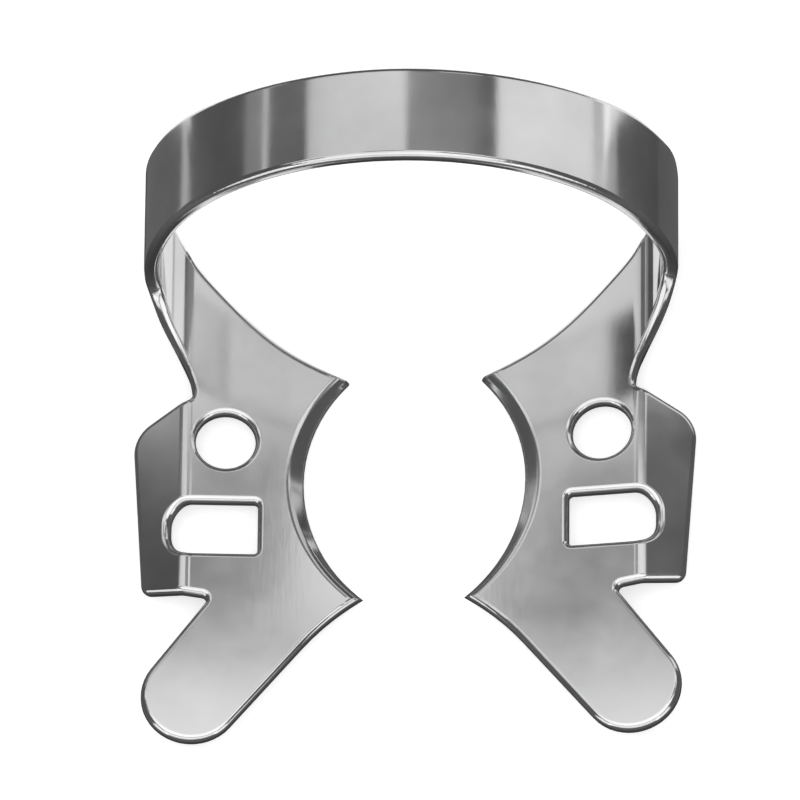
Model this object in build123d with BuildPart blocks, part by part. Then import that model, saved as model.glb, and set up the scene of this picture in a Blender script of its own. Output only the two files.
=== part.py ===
from build123d import *

import os
from math import cos, hypot, radians, sin, tan

# ---------------------------------------------------------------- driving dimensions (mm, degrees)
# The clamp is one strip of sheet steel. While it is shaped, X runs across the tooth,
# Y runs back towards the bow and Z is up; the finished strip is then laid as it comes to rest.
sheet_t = 0.68  # sheet thickness
bow_r = 11.28  # bow radius, middle of the sheet
curl_r = 1.9  # leg curl radius, middle of the sheet
jaw_slope = 6.0  # the jaws fall this much towards the tooth
bend_x = 9.95  # the jaws' middle plane crosses height zero here
wing_slope = 22.7  # the side wings fall this much outwards
wing_bend_r = 0.62  # bend between jaw and wing, middle of the sheet
wing_leave = 170.0  # turn of the curl where the wing leaves the leg

# back edge of the strip: (turn from the top of the bow, y), then (x, y) on the flat jaw
back_bow = [(-6, 13.08), (0, 13.08), (15, 13.09), (30, 13.16), (45, 13.31), (60, 13.52), (75, 13.66),
            (90, 13.56), (107.2, 13.21), (124.5, 12.69), (142.1, 12.02), (160, 11.22), (167.3, 10.89)]
back_jaw = [(9.50, 10.47), (9.04, 9.87), (8.4, 9.12), (7.4, 8.02), (6.35, 7.03), (5.3, 6.25), (4.26, 5.66), (3.04, 5.10), (1.6, 4.48)]
# front edge of bow and leg: (turn, y), down to the neck
front_bow = [(-6, 8.76), (0, 8.76), (20, 8.76), (40, 8.76), (60, 8.76), (78, 8.76), (90, 8.76), (99.2, 8.68),
             (107.2, 8.47), (115.3, 8.13), (124.5, 7.65), (133.9, 7.17), (143.3, 6.66), (152.8, 6.08),
             (161.2, 5.49), (167.3, 5.00), (171, 4.49), (172.5, 3.83), (173.3, 3.23)]
neck_y = 3.6  # the neck, between leg and wing

# gripping edge of the jaw: an arc, bevelled from the top
grip_x, grip_y, grip_r = -2.33, 0.15, 7.10
bevel_x, bevel_r, bevel_deep = -1.15, 6.60, 0.42

# front lobe and its edges
notch_x, notch_y = 8.46, -5.05  # the lobe's outer edge starts here, under the wing's root
lobe_x, lobe_y, lobe_r = 9.50, -10.18, 2.17
lobe_inner = 51.0  # the lobe's inner edge falls forward at this angle
lobe_knee_x = 4.75
front_tip_x, front_tip_y = 2.10, -5.36

# forceps hole and slot
hole_x, hole_y, hole_d = 8.18, 2.02, 2.60
slot_in_x, slot_front_y, slot_back_y = 6.74, -3.36, -0.93
slot_end_w, slot_end_r = 0.54, 1.02  # on the wing, past the bend

# wing outline, (distance past the bend, y)
wing_back = [(-1.60, 4.67), (2.37, 2.72)]
wing_front = [(1.82, -4.97), (-1.60, -5.53)]
wing_back_r, wing_front_r = 1.40, 0.45

# corners of the blank and the polished edge all round the sheet
neck_r, notch_r, slot_corner_r = 0.30, 0.22, 0.18
edge_r = 0.28
rim_r, bevel_low_r, grip_low_r = 0.66, 0.20, 0.14  # gripping edge: the bevel's upper rim, its foot, the underside
skim, tool_reach = 0.001, 5.60  # play over the sheet's faces and reach along the jaw of the gripping edge's tool

# as it comes to rest, on the wings' back corners and the two back prongs of the jaws
rest_tilt = -2.446

# ---------------------------------------------------------------- the strip's middle line
a, b = radians(jaw_slope), radians(wing_slope)
curl_x = bow_r - curl_r
flat_x = curl_x + curl_r * sin(a)  # the flat jaw ends and the curl begins
flat_z = (flat_x - bend_x) * tan(a)
bow_z = flat_z + curl_r * cos(a)  # height of the bow's axis


def bow_point(turn, side):
    """Point of the bow or the curl at a turn from the top, side mm outside the middle."""
    f = radians(turn)
    if turn <= 90:
        return (bow_r + side) * sin(f), bow_z + (bow_r + side) * cos(f)
    return curl_x + (curl_r + side) * sin(f), bow_z + (curl_r + side) * cos(f)


def jaw_point(x, side):
    """Point of the flat jaw, side mm below the middle."""
    return x + side * sin(a), (x - bend_x) * tan(a) - side * cos(a)


def edge_wall(bow, jaw, reach=0.62):
    """Wall square to the sheet along an edge of the strip, as a ruled face."""
    rows = []
    for side in (reach, -reach):
        pts = [(bow_point(f, side), y) for f, y in bow] + [(jaw_point(x, side), y) for x, y in jaw]
        rows.append([(p[0], y, p[1]) for p, y in pts])
    mid = [(bow_point(f, 0), y) for f, y in bow] + [(jaw_point(x, 0), y) for x, y in jaw]
    at = [0.0]
    for (p, y), (q, v) in zip(mid, mid[1:]):
        at.append(at[-1] + (hypot(q[0] - p[0], q[1] - p[1]) ** 2 + (v - y) ** 2) ** 0.5)
    at = [s / at[-1] for s in at]
    return Face.make_surface_from_curves(*(Edge.make_spline(r, parameters=at) for r in rows))


jaw_plane = Plane(
    origin=(flat_x - flat_x * cos(a), 0, flat_z - flat_x * sin(a)), x_dir=(cos(a), 0, sin(a)), z_dir=(-sin(a), 0, cos(a))
)
leave = radians(wing_leave)
turn_x = curl_x + (curl_r + wing_bend_r) * sin(leave)
turn_z = bow_z + (curl_r + wing_bend_r) * cos(leave)
wing_plane = Plane(
    origin=(turn_x + wing_bend_r * sin(b), 0, turn_z + wing_bend_r * cos(b)),
    x_dir=(cos(b), 0, -sin(b)),
    z_dir=(sin(b), 0, cos(b)),
)
h = sheet_t / 2


def sharp_edges(shape, over=25):
    """Edges where two faces of the half meet at an angle, apart from its plane of symmetry."""
    sides = [(f, f.edges()) for f in shape.faces()]
    found = []
    for edge in shape.edges():
        at = edge @ 0.5
        pair = [f for f, ring in sides if any(edge.is_same(e) for e in ring)]
        if at.X > 1e-6 and len(pair) == 2 and pair[0].normal_at(at).get_angle(pair[1].normal_at(at)) > over:
            found.append(edge)
    return ShapeList(found)


def off_grip(edge):
    """True for an edge of the blank that the gripping edge doesn't cut away."""
    at = jaw_plane.to_local_coords(edge @ 0.5)
    return hypot(at.X - grip_x, at.Y - grip_y) > grip_r + 0.02


# ---------------------------------------------------------------- side wing: jaw edge, bend and slope
with BuildPart() as wing_sheet:
    with BuildSketch(Plane.XZ.offset(-wing_back[0][1])):
        with BuildLine():
            tops, lows = [], []
            for side, keep in ((-h, tops), (h, lows)):
                keep.append(jaw_point(8.0, side))
                keep.append(bow_point(180 - jaw_slope, side))
                keep.append(bow_point(wing_leave, side))
                out = wing_bend_r - side
                keep.append((turn_x + out * sin(b), turn_z + out * cos(b)))
                keep.append((keep[-1][0] + 4 * cos(b), keep[-1][1] - 4 * sin(b)))
                Line(keep[0], keep[1])
                CenterArc((curl_x, bow_z), curl_r + side, 90 - (180 - jaw_slope), 180 - jaw_slope - wing_leave)
                CenterArc((turn_x, turn_z), out, 270 - wing_leave, (90 - wing_slope) - (270 - wing_leave))
                Line(keep[3], keep[4])
            Line(tops[0], lows[0])
            Line(tops[4], lows[4])
        make_face()
    extrude(amount=wing_back[0][1] - wing_front[1][1])
    with BuildSketch(wing_plane):
        with BuildLine():
            Polyline((-3.2, wing_front[1][1]), (-3.2, wing_back[0][1]), *wing_back, *wing_front, close=True)
        make_face()
    extrude(amount=2.5, both=True, mode=Mode.INTERSECT)
    corners = wing_sheet.edges().filter_by(Axis((0, 0, 0), wing_plane.z_dir)).sort_by(Axis.X)[-2:]
    fillet(corners.sort_by(Axis.Y)[-1], wing_back_r)
    corners = wing_sheet.edges().filter_by(Axis((0, 0, 0), wing_plane.z_dir)).sort_by(Axis.Y)
    fillet(corners.filter_by(lambda e: e.center().X > 11.2)[0], wing_front_r)

# ---------------------------------------------------------------- tool for the gripping edge: arc, bevel and its rounded rims
with BuildPart() as grip_tool:
    top = h + skim
    with BuildSketch(jaw_plane.offset(-top)):
        with Locations((grip_x, grip_y)):
            Circle(grip_r)
    extrude(amount=2 * top)
    slope = (grip_r - bevel_r) / bevel_deep
    shift = (bevel_x - grip_x) / bevel_deep
    with BuildSketch(jaw_plane.offset(h - bevel_deep - 0.02)):
        with Locations((grip_x - 0.02 * shift, grip_y)):
            Circle(grip_r + 0.02 * slope)
    with BuildSketch(jaw_plane.offset(top)):
        with Locations((bevel_x + skim * shift, grip_y)):
            Circle(bevel_r - skim * slope)
    loft()
    for level, side in ((top, 1), (-top, -1)):
        with BuildSketch(jaw_plane.offset(level)):
            with Locations((grip_x, grip_y)):
                Circle(grip_r + 1.6)
        extrude(amount=side)
    with BuildSketch(jaw_plane):
        with Locations((5.0, grip_y)):
            Rectangle(9.0, 2 * tool_reach)
    extrude(amount=3, both=True, mode=Mode.INTERSECT)
    for level, r in ((top, rim_r), (h - bevel_deep, bevel_low_r), (-top, grip_low_r)):
        arcs = []
        for edge in grip_tool.edges():
            at = jaw_plane.to_local_coords(edge @ 0.5)
            if abs(at.Z - level) < 0.005 and at.X > 3 and edge.length > 6 and at.X < bevel_x + bevel_r + 0.1:
                arcs.append(edge)
        fillet(arcs, r)

# ---------------------------------------------------------------- right half of the strip
with BuildPart() as half:
    # bow, leg and the back of the jaw, bent from one strip and cut to its edges
    with BuildSketch(Plane.XZ.offset(-14.5)):
        with BuildLine():
            ends = []
            for side in (h, -h):
                top, foot = bow_point(0, side), bow_point(180 - jaw_slope, side)
                tip = jaw_point(1.6, side)
                CenterArc((0, bow_z), bow_r + side, 90, -90)
                CenterArc((curl_x, bow_z), curl_r + side, 0, -(90 - jaw_slope))
                Line(foot, tip)
                ends.append((top, tip))
            Line(ends[0][0], ends[1][0])
            Line(ends[0][1], ends[1][1])
        make_face()
    extrude(amount=14.5 - neck_y)
    extrude(edge_wall(back_bow, back_jaw), amount=14, dir=(0, 1, 0), mode=Mode.SUBTRACT)
    extrude(edge_wall(front_bow, []), amount=8, dir=(0, -1, 0), mode=Mode.SUBTRACT)

    # flat jaw and front lobe
    with BuildSketch(jaw_plane):
        with BuildLine():
            inner = radians(lobe_inner)
            ti = (lobe_x - lobe_r * sin(inner), lobe_y - lobe_r * cos(inner))
            knee = (ti[0] - (ti[0] - lobe_knee_x), ti[1] + (ti[0] - lobe_knee_x) * tan(inner))
            # tangent point of the lobe's outer edge, drawn from the notch
            dx, dy = notch_x - lobe_x, notch_y - lobe_y
            d = hypot(dx, dy)
            k, q = lobe_r * lobe_r / (d * d), lobe_r * (d * d - lobe_r * lobe_r) ** 0.5 / (d * d)
            to = (lobe_x + k * dx + q * dy, lobe_y + k * dy - q * dx)
            l1 = Line((notch_x, notch_y), to)
            l2 = ThreePointArc(to, (lobe_x + lobe_r * cos(radians(-60)), lobe_y + lobe_r * sin(radians(-60))), ti)
            l3 = Line(ti, knee)
            l4 = TangentArc(knee, (front_tip_x, front_tip_y), tangent=(-cos(inner), sin(inner)))
            Polyline((front_tip_x, front_tip_y), (1.0, -4.4), (1.0, neck_y), (8.4, neck_y), (8.4, notch_y), (notch_x, notch_y))
        make_face()
    extrude(amount=h, both=True)
    add(wing_sheet.part)

    # forceps hole
    with BuildSketch(jaw_plane.offset(-1.5)):
        with Locations((hole_x, hole_y)):
            Circle(hole_d / 2)
    extrude(amount=3, mode=Mode.SUBTRACT)

    # slot from the jaw over the bend into the wing, round at its outer end
    mid_y, wide = (slot_front_y + slot_back_y) / 2, slot_back_y - slot_front_y
    with BuildSketch(jaw_plane.offset(-1.5)):
        with Locations(((slot_in_x + 9.15) / 2, mid_y)):
            Rectangle(9.15 - slot_in_x, wide)
    extrude(amount=3, mode=Mode.SUBTRACT)
    with BuildSketch(wing_plane.offset(-1.5)) as slot_end:
        with Locations(((slot_end_w - 1.6) / 2, mid_y)):
            Rectangle(slot_end_w + 1.6, wide)
        fillet(slot_end.vertices().group_by(Axis.X)[-1], slot_end_r)
    extrude(amount=3, mode=Mode.SUBTRACT)

    # corners through the sheet: the relief at the wing's front, the neck at its back, the slot's inner end
    walls = sharp_edges(half.part).filter_by(lambda e: 0.5 < e.length < 0.8)
    fillet(walls.sort_by_distance((notch_x + 0.28, notch_y - 0.39, -0.13))[0], notch_r)
    walls = sharp_edges(half.part).filter_by(lambda e: 0.5 < e.length < 0.8)
    fillet(walls.sort_by_distance((9.63, 4.10, 0.08))[0], neck_r)
    for y in (slot_front_y, slot_back_y):
        walls = half.edges().filter_by(Axis((0, 0, 0), jaw_plane.z_dir))
        fillet(walls.sort_by_distance((slot_in_x, y, -h))[0], slot_corner_r)

    # polished edges all round the blank, both faces
    fillet(sharp_edges(half.part).filter_by(off_grip), edge_r)

    # gripping edge
    with BuildSketch(jaw_plane.offset(-1)):
        with Locations((grip_x, grip_y)):
            Circle(grip_r)
    extrude(amount=3, mode=Mode.SUBTRACT)
    add(grip_tool.part, mode=Mode.SUBTRACT)

# ---------------------------------------------------------------- the whole strip, laid at rest
with BuildPart() as strip:
    add(half.part)
    mirror(about=Plane.YZ)

box = Rot(rest_tilt, 0, 0) * strip.part
box = box.bounding_box()
lay = Location((0, -box.center().Y, -box.min.Z), (rest_tilt, 0, 0))
with BuildPart() as clamp_body:
    with Locations(lay):
        add(strip.part)

os.makedirs("parts", exist_ok=True)
clamp_body.part.label = "clamp_body"
export_step(clamp_body.part, "parts/clamp_body.step")

# sizes for the record
print("solids", len(clamp_body.part.solids()), "valid", clamp_body.part.is_valid)
print("volume", half.part.volume * 2, clamp_body.part.volume, "box", clamp_body.part.bounding_box())
for name, spot in (("hole", (hole_x, hole_y)), ("grip", (grip_x + grip_r, grip_y)), ("slot", (slot_in_x, mid_y))):
    top = (lay * jaw_plane.location * Location((spot[0], spot[1], h))).position
    low = (lay * jaw_plane.location * Location((spot[0], spot[1], -h))).position
    print(name, "top", top, "underside", low, "up", (top - low).normalized())
print("lay", lay)
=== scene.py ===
from math import cos, pi, radians, sin, tan

import bpy
import numpy as np
from mathutils import Matrix, Vector


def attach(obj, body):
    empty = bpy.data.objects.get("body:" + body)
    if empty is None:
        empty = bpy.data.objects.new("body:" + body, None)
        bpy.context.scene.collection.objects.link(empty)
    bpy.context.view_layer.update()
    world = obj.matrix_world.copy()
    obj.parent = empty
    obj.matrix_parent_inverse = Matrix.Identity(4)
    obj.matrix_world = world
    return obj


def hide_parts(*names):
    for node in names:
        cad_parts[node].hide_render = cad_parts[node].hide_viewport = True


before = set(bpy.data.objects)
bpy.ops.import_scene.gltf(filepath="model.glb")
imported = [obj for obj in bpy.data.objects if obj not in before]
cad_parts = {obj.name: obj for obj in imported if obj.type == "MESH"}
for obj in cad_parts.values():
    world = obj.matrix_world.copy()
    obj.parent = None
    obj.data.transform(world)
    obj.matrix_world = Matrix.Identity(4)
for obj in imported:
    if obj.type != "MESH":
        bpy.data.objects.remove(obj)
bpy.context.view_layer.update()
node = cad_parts["clamp_body"]

# ------------------------------------------------------------------ the strip's sizes, as in the part (mm, degrees)
SHEET = 0.68
BOW_R, CURL_R = 11.28, 1.9
JAW_SLOPE, BEND_X = radians(6.0), 9.95
WING_SLOPE, WING_BEND_R, WING_LEAVE = radians(22.7), 0.62, radians(170.0)
REST_TILT, LAY_Y, LAY_Z = radians(-2.446), -0.791666, 1.25852
EDGE_R, LOBE_Y = 0.28, -5.62
GRIP_X, GRIP_Y, GRIP_R = -2.33, 0.15, 7.10
BEVEL_X, BEVEL_R, BEVEL_DEEP, RIM_R = -1.15, 6.60, 0.42, 0.66
H = SHEET / 2
CURL_X = BOW_R - CURL_R
FLAT_X = CURL_X + CURL_R * sin(JAW_SLOPE)
FLAT_Z = (FLAT_X - BEND_X) * tan(JAW_SLOPE)
BOW_Z = FLAT_Z + CURL_R * cos(JAW_SLOPE)
TURN_X = CURL_X + (CURL_R + WING_BEND_R) * sin(WING_LEAVE)
TURN_Z = BOW_Z + (CURL_R + WING_BEND_R) * cos(WING_LEAVE)


# ------------------------------------------------------------------ the polished strip
def welded(mesh):
    """The mesh's points in mm with the seams between its patches closed, and its triangles."""
    co = np.zeros(len(mesh.vertices) * 3, np.float32)
    mesh.vertices.foreach_get("co", co)
    co = co.reshape(-1, 3).astype(float) * 1000
    mesh.calc_loop_triangles()
    tri = np.zeros(len(mesh.loop_triangles) * 3, np.int32)
    mesh.loop_triangles.foreach_get("vertices", tri)
    keys, first, back = np.unique(np.round(co, 4), axis=0, return_index=True, return_inverse=True)
    tri = back.reshape(-1)[tri].reshape(-1, 3)
    keep = (tri[:, 0] != tri[:, 1]) & (tri[:, 1] != tri[:, 2]) & (tri[:, 2] != tri[:, 0])
    return co[first], tri[keep]


def corner_normals(pts, tri):
    """Normal at each point, weighted by area and by the corner's angle, so the broad faces rule."""
    p = pts[tri]
    face = np.cross(p[:, 1] - p[:, 0], p[:, 2] - p[:, 0])
    out = np.zeros_like(pts)
    for k in range(3):
        u, v = p[:, (k + 1) % 3] - p[:, k], p[:, (k + 2) % 3] - p[:, k]
        c = (u * v).sum(1) / np.maximum(np.linalg.norm(u, axis=1) * np.linalg.norm(v, axis=1), 1e-12)
        np.add.at(out, tri[:, k], face * np.arccos(np.clip(c, -1, 1))[:, None])
    return out / np.maximum(np.linalg.norm(out, axis=1), 1e-12)[:, None]


def true_normals(pts, rough):
    """Exact normals for the points on the sheet's bent faces and on its rounded edges; the rest keep theirs."""
    c, s = cos(REST_TILT), sin(REST_TILT)
    side = np.where(pts[:, 0] < 0, -1.0, 1.0)
    # back to the frame in which the strip was bent, right half
    x, y, z = np.abs(pts[:, 0]), pts[:, 1] - LAY_Y, pts[:, 2] - LAY_Z
    y, z = c * y + s * z, c * z - s * y
    local = np.stack([rough[:, 0] * side, c * rough[:, 1] + s * rough[:, 2], c * rough[:, 2] - s * rough[:, 1]], 1)
    one = np.ones_like(x)

    def round_sheet(cx, cz, radius):
        r = np.maximum(np.hypot(x - cx, z - cz), 1e-9)
        return r - radius, (x - cx) / r, (z - cz) / r

    def flat_sheet(px, pz, nx, nz):
        return (x - px) * nx + (z - pz) * nz, nx * one, nz * one

    # the sheet's middle surface at each point: distance from it and its normal
    bow, curl, bend = round_sheet(0, BOW_Z, BOW_R), round_sheet(CURL_X, BOW_Z, CURL_R), round_sheet(TURN_X, TURN_Z, WING_BEND_R)
    jaw = flat_sheet(BEND_X, 0, -sin(JAW_SLOPE), cos(JAW_SLOPE))
    wing = flat_sheet(
        TURN_X + WING_BEND_R * sin(WING_SLOPE), TURN_Z + WING_BEND_R * cos(WING_SLOPE), sin(WING_SLOPE), cos(WING_SLOPE)
    )
    past = (x - TURN_X) * cos(WING_SLOPE) - (z - TURN_Z) * sin(WING_SLOPE)
    inside = H + 6e-4
    lobe = y < LOBE_Y
    off, mx, mz = np.full_like(x, 9.0), 0 * one, one.copy()
    for (d, nx, nz), where in (
        (wing, ~lobe & (past >= 0) & (z < BOW_Z - CURL_R + 0.9)),
        (bend, ~lobe & (past < 0) & (z > TURN_Z) & ((x - TURN_X) > (z - TURN_Z) * tan(WING_LEAVE) - 1e-3)),
        (curl, ~lobe & (z < BOW_Z) & (x >= FLAT_X - H * sin(JAW_SLOPE) - 0.02)),
        (jaw, lobe | (x <= FLAT_X + H * sin(JAW_SLOPE) + 0.02)),
        (bow, z >= BOW_Z),
    ):
        use = where & (np.abs(d) <= inside) & (off > 5)
        off[use], mx[use], mz[use] = d[use], nx[use], nz[use]
    m = np.stack([mx, 0 * one, mz], 1) * np.where(off < 0, -1.0, 1.0)[:, None]
    known = off < 5
    depth = np.abs(off)
    # rounded edges: the turn follows from the depth under the face, the direction lies in the sheet
    jx = x * cos(JAW_SLOPE) + (z - FLAT_Z) * sin(JAW_SLOPE) + FLAT_X * (1 - cos(JAW_SLOPE))
    grip = (np.hypot(jx - BEVEL_X, y - GRIP_Y) < BEVEL_R + 0.40) & (np.abs(jaw[0]) < H + 0.01)
    grip |= (np.hypot(jx - GRIP_X, y - GRIP_Y) < GRIP_R + 0.25) & (np.abs(jaw[0]) < H + 0.01)
    across = local - (local * m).sum(1)[:, None] * m
    size = np.linalg.norm(across, axis=1)
    across = across / np.maximum(size, 1e-9)[:, None]
    lift = np.clip((depth - (H - EDGE_R)) / EDGE_R, 0, 1)[:, None]
    edge = known & (depth < H - 6e-4) & (size > 0.05) & ~grip
    face = known & (np.abs(depth - H) <= 6e-4) & ((local * m).sum(1) > 0.80)
    n = local.copy()
    n[edge] = (lift * m + np.sqrt(1 - lift**2) * across)[edge]
    n[face] = m[face]
    # the bevel of the gripping edge and its rounded upper rim
    d = H - jaw[0]
    cx = BEVEL_X + (GRIP_X - BEVEL_X) * d / BEVEL_DEEP
    rho = np.maximum(np.hypot(jx - cx, y - GRIP_Y), 1e-9)
    ox, oy = (cx - jx) / rho, (GRIP_Y - y) / rho
    fall = np.arctan2(BEVEL_DEEP, ox * (GRIP_X - BEVEL_X) - (GRIP_R - BEVEL_R))
    lean = np.minimum(np.arccos(np.clip(1 - (d + 0.001) / RIM_R, -1, 1)), fall)
    ca, sa = cos(JAW_SLOPE), sin(JAW_SLOPE)
    rim = np.stack([np.sin(lean) * ox * ca - np.cos(lean) * sa, np.sin(lean) * oy, np.sin(lean) * ox * sa + np.cos(lean) * ca], 1)
    bevel = grip & (d > 6e-4) & (d < BEVEL_DEEP - 0.09) & ((local * rim).sum(1) > 0.85)
    n[bevel] = rim[bevel]
    world = np.stack([n[:, 0] * side, c * n[:, 1] - s * n[:, 2], s * n[:, 1] + c * n[:, 2]], 1)
    print("on faces", int(face.sum()), "on edges", int(edge.sum()), "gripping edges", int(grip.sum()), int(bevel.sum()))
    return world


pts, tri = welded(node.data)
normals = true_normals(pts, corner_normals(pts, tri))
print("points", len(pts), "triangles", len(tri))
mesh = bpy.data.meshes.new("clamp_polished")
mesh.from_pydata((pts / 1000).tolist(), [], tri.tolist())
mesh.validate()
mesh.shade_smooth()
mesh.normals_split_custom_set_from_vertices(normals.tolist())
mesh.update()
clamp = bpy.data.objects.new("clamp_polished", mesh)
bpy.context.scene.collection.objects.link(clamp)


# ------------------------------------------------------------------ materials
def nodes_of(material):
    material.use_nodes = True
    t = material.node_tree
    t.nodes.clear()
    return t, t.nodes, t.links


def steel():
    m = bpy.data.materials.new("polished_steel")
    t, n, l = nodes_of(m)
    out = n.new("ShaderNodeOutputMaterial")
    b = n.new("ShaderNodeBsdfPrincipled")
    b.inputs["Metallic"].default_value = 1.0
    l.new(b.outputs["BSDF"], out.inputs["Surface"])
    place = n.new("ShaderNodeTexCoord")
    # broad, soft differences left by the polishing wheel
    cloud = n.new("ShaderNodeTexNoise")
    cloud.inputs["Scale"].default_value = 260.0
    cloud.inputs["Detail"].default_value = 3.0
    cloud.inputs["Roughness"].default_value = 0.55
    l.new(place.outputs["Object"], cloud.inputs["Vector"])
    # fine grain, drawn out along the strip
    stretch = n.new("ShaderNodeMapping")
    stretch.inputs["Scale"].default_value = (1.0, 0.16, 1.0)
    l.new(place.outputs["Object"], stretch.inputs["Vector"])
    grain = n.new("ShaderNodeTexNoise")
    grain.inputs["Scale"].default_value = 5200.0
    grain.inputs["Detail"].default_value = 2.0
    l.new(stretch.outputs["Vector"], grain.inputs["Vector"])
    tone = n.new("ShaderNodeValToRGB")
    tone.color_ramp.elements[0].position = 0.30
    tone.color_ramp.elements[0].color = (0.66, 0.66, 0.665, 1)
    tone.color_ramp.elements[1].position = 0.72
    tone.color_ramp.elements[1].color = (0.80, 0.80, 0.80, 1)
    l.new(cloud.outputs["Fac"], tone.inputs["Fac"])
    l.new(tone.outputs["Color"], b.inputs["Base Color"])
    rough = n.new("ShaderNodeMapRange")
    rough.inputs["From Min"].default_value = 0.25
    rough.inputs["From Max"].default_value = 0.75
    rough.inputs["To Min"].default_value = 0.09
    rough.inputs["To Max"].default_value = 0.17
    l.new(cloud.outputs["Fac"], rough.inputs["Value"])
    l.new(rough.outputs["Result"], b.inputs["Roughness"])
    bump = n.new("ShaderNodeBump")
    bump.inputs["Strength"].default_value = 0.035
    bump.inputs["Distance"].default_value = 0.00002
    l.new(grain.outputs["Fac"], bump.inputs["Height"])
    l.new(bump.outputs["Normal"], b.inputs["Normal"])
    return m


def floor_paint():
    m = bpy.data.materials.new("pale_floor")
    t, n, l = nodes_of(m)
    out = n.new("ShaderNodeOutputMaterial")
    b = n.new("ShaderNodeBsdfPrincipled")
    b.inputs["Base Color"].default_value = (0.92, 0.92, 0.92, 1)
    b.inputs["Roughness"].default_value = 0.9
    b.inputs["Specular IOR Level"].default_value = 0.0
    b.inputs["Emission Color"].default_value = (1, 1, 1, 1)
    b.inputs["Emission Strength"].default_value = 0.62
    l.new(b.outputs["BSDF"], out.inputs["Surface"])
    return m


clamp.data.materials.append(steel())
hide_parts("clamp_body")
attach(clamp, "root")

# ------------------------------------------------------------------ stage
me = bpy.data.meshes.new("floor")
s = 1.5
me.from_pydata([(-s, -s, 0), (s, -s, 0), (s, s, 0), (-s, s, 0)], [], [(0, 1, 2, 3)])
floor = bpy.data.objects.new("floor", me)
bpy.context.scene.collection.objects.link(floor)
floor.data.materials.append(floor_paint())
floor.visible_glossy = False

world = bpy.data.worlds.new("studio")
bpy.context.scene.world = world
t, n, l = nodes_of(world)
out = n.new("ShaderNodeOutputWorld")
bg = n.new("ShaderNodeBackground")
place = n.new("ShaderNodeTexCoord")
axes = n.new("ShaderNodeSeparateXYZ")
ramp = n.new("ShaderNodeValToRGB")
half = n.new("ShaderNodeMapRange")
half.inputs["From Min"].default_value = -1.0
half.inputs["From Max"].default_value = 1.0
l.new(place.outputs["Generated"], axes.inputs["Vector"])
l.new(axes.outputs["Z"], half.inputs["Value"])
l.new(half.outputs["Result"], ramp.inputs["Fac"])
e = ramp.color_ramp.elements
e[0].position, e[0].color = 0.0, (0.04, 0.04, 0.04, 1)
e[1].position, e[1].color = 1.0, (0.34, 0.34, 0.34, 1)
for at, v in ((0.20, 0.10), (0.35, 0.14), (0.50, 0.10), (0.72, 0.11), (0.80, 0.10), (0.845, 0.13), (0.875, 0.23), (0.93, 0.29)):
    k = e.new(at)
    k.color = (v, v, v, 1)
l.new(ramp.outputs["Color"], bg.inputs["Color"])
l.new(bg.outputs["Background"], out.inputs["Surface"])


def softbox(name, centre, aim, size, radiance, turn=(0, 0, 1)):
    """A rectangular soft light at centre, in mm, facing aim."""
    light = bpy.data.lights.new(name, "AREA")
    light.shape = "RECTANGLE"
    light.size, light.size_y = size[0] / 1000, size[1] / 1000
    light.energy = radiance * pi * light.size * light.size_y
    o = bpy.data.objects.new(name, light)
    bpy.context.scene.collection.objects.link(o)
    z = (Vector(centre) - Vector(aim)).normalized()
    x = Vector(turn).cross(z)
    x = x.normalized() if x.length > 1e-6 else Vector((1, 0, 0))
    y = z.cross(x)
    o.matrix_world = Matrix.Translation(Vector(centre) / 1000) @ Matrix((x, y, z)).transposed().to_4x4()
    return o


def card(name, corners, strength):
    """A flat glowing card under the floor, in mm, that only the metal's reflections see."""
    me = bpy.data.meshes.new(name)
    me.from_pydata([(x / 1000, y / 1000, -0.0005) for x, y in corners], [], [tuple(range(len(corners)))])
    m = bpy.data.materials.new(name)
    t, n, l = nodes_of(m)
    glow = n.new("ShaderNodeEmission")
    glow.inputs["Strength"].default_value = strength
    out = n.new("ShaderNodeOutputMaterial")
    l.new(glow.outputs["Emission"], out.inputs["Surface"])
    me.materials.append(m)
    o = bpy.data.objects.new(name, me)
    bpy.context.scene.collection.objects.link(o)
    o.visible_camera = o.visible_diffuse = o.visible_shadow = o.visible_transmission = False
    return o


def ceiling(name, x0, x1, y0, y1, radiance):
    """A softbox lying flat 60 mm over the floor."""
    mid = ((x0 + x1) / 2, (y0 + y1) / 2)
    softbox(name, (*mid, 60), (*mid, 0), (x1 - x0, y1 - y0), radiance, turn=(0, 1, 0))


# overhead, behind: over the bow's left half and the back of the jaws
ceiling("over_back", -45, 2.5, 33.2, 76, 0.54)
# overhead, front: over the lobes, brightest at their ends
ceiling("over_lobe_ends", -31, 15, 2, 20.5, 0.70)
ceiling("over_lobes", -31, 15, 20.5, 23.5, 0.28)
# overhead, to both sides of the jaws and far in front: seen by the rounded rims
ceiling("over_right", 1.5, 46, 22, 31.5, 0.72)
ceiling("over_left", -60, -14.5, 22, 31.5, 0.66)
ceiling("over_front", -50, 50, -50, 1, 1.0)
ceiling("over_rim_right", 16, 52, 18, 28.8, 0.85)
ceiling("over_rim_left", -60, -22, 18, 28.8, 0.85)
ceiling("over_far_right", 16, 40, 56, 78, 0.8)
ceiling("over_far_left", -46, -16, 41, 70, 0.5)
# right, behind: a tall leaning panel that only the bow sees, fading at its foot
softbox("side_right", (46.9, 45, 29.9), (1.5, 45, 8.9), (43.8, 31), 0.78, turn=(0, 1, 0))
softbox("side_right_foot", (57.7, 44, 6.4), (12.3, 44, -14.6), (8, 32), 0.50, turn=(0, 1, 0))
softbox("side_right_end", (61.2, 44, -1.3), (15.8, 44, -22.3), (9, 32), 0.30, turn=(0, 1, 0))
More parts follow.
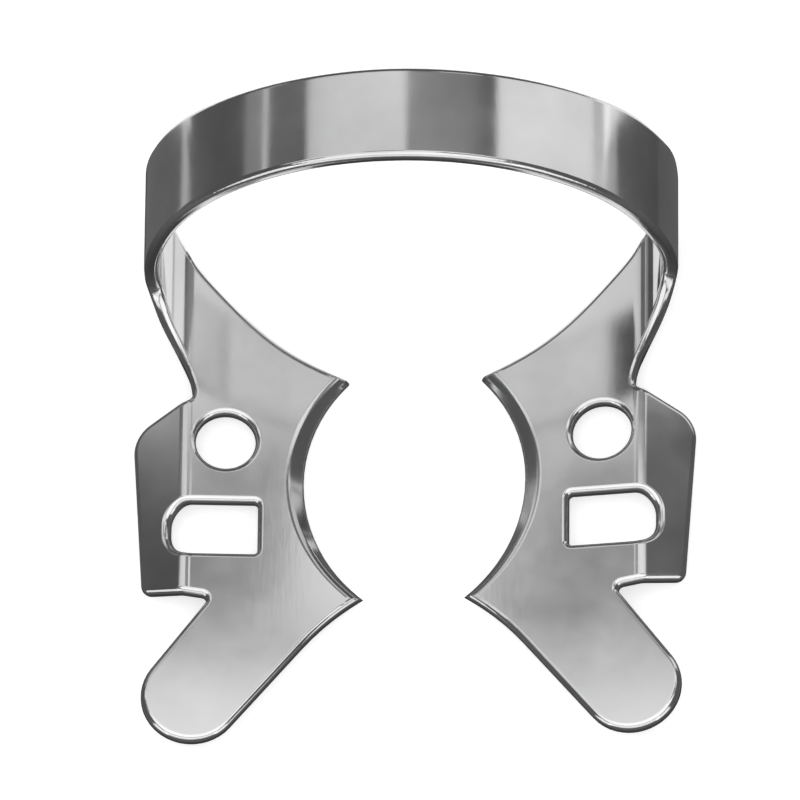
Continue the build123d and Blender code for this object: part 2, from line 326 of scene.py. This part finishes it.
# left, behind: a dim panel with a thin brighter strip
softbox("side_left", (-61, 57.5, 45), (-5, 26.5, 13), (38, 40), 0.06, turn=(0, 1, 0))
softbox("side_left_mid", (-63, 57.5, 36), (-6, 26.5, 12), (14, 40), 0.11, turn=(0, 1, 0))
softbox("strip_left", (-62, 57.5, 42), (-6, 29.5, 12), (4, 40), 0.40, turn=(0, 1, 0))
# in front and low at both sides: draw the bright line along rounded edges
softbox("front", (0, -76, 50), (0, 0, 2), (140, 38), 1.0)
softbox("front_low", (0, -84, 24), (0, 0, 2), (140, 20), 0.30)
softbox("rim_left", (-70, -64, 34), (0, -64, 34), (56, 60), 1.0)
softbox("rim_right", (70, -64, 34), (0, -64, 34), (56, 60), 1.0)
# low light thrown back up under the bow and at the legs
card("card_bow", [(-11, 8.5), (11, 8.5), (11, 15.5), (90, 51), (90, 95), (40, 44), (-40, 44), (-40, 28.5), (-11, 15.5)], 1.0)
card("card_leg", [(-40, 17), (-31, 17), (-31, 26), (-40, 26)], 0.52)
card("card_leg_foot", [(-31, 14.5), (-13, 9), (-13, 16), (-31, 24)], 0.14)
card("card_leg_right", [(12, 9), (17, 11), (17, 18), (12, 15.8)], 0.12)

# ------------------------------------------------------------------ camera: long lens, at the photograph's angle
FIT = dict(e=66.607, s=23.0455, cx=410.578, v0=472.643, yaw=-1.6076, roll_a=-4.0438, roll=1.4477, dist=600.0, zr=3.0)
ra, yw, el, ro = (radians(FIT[k]) for k in ("roll_a", "yaw", "e", "roll"))
turn_y = Matrix(((cos(ra), 0, sin(ra)), (0, 1, 0), (-sin(ra), 0, cos(ra))))
turn_z = Matrix(((cos(yw), -sin(yw), 0), (sin(yw), cos(yw), 0), (0, 0, 1)))
back = (turn_z @ turn_y).inverted()
lift = Vector((0, 0, FIT["zr"]))


def place_of(p):
    """A point of the photograph's frame in the part's frame, mm."""
    return turn_y.inverted() @ (turn_z.inverted() @ Vector(p) - lift) + lift


right = Vector((cos(ro), -sin(ro) * sin(el), -sin(ro) * cos(el)))
up = Vector((sin(ro), cos(ro) * sin(el), cos(ro) * cos(el)))
eye = Vector((0, -cos(el), sin(el))) * FIT["dist"]
look = right * ((400 - FIT["cx"]) / FIT["s"]) + up * ((FIT["v0"] - 400) / FIT["s"])
eye_w, look_w, up_w = place_of(eye), place_of(look), back @ up
cz = (eye_w - look_w).normalized()
cx = up_w.cross(cz).normalized()
cy = cz.cross(cx)
data = bpy.data.cameras.new("camera")
data.sensor_width = 36.0
data.sensor_fit = "HORIZONTAL"
data.lens = 36.0 * FIT["dist"] / (800 / FIT["s"])
data.clip_start, data.clip_end = 0.01, 5.0
camera = bpy.data.objects.new("camera", data)
bpy.context.scene.collection.objects.link(camera)
camera.matrix_world = Matrix.Translation(eye_w / 1000) @ Matrix((cx, cy, cz)).transposed().to_4x4()
bpy.context.scene.camera = camera

view = bpy.context.scene.view_settings
view.view_transform = "Standard"
view.look = "None"
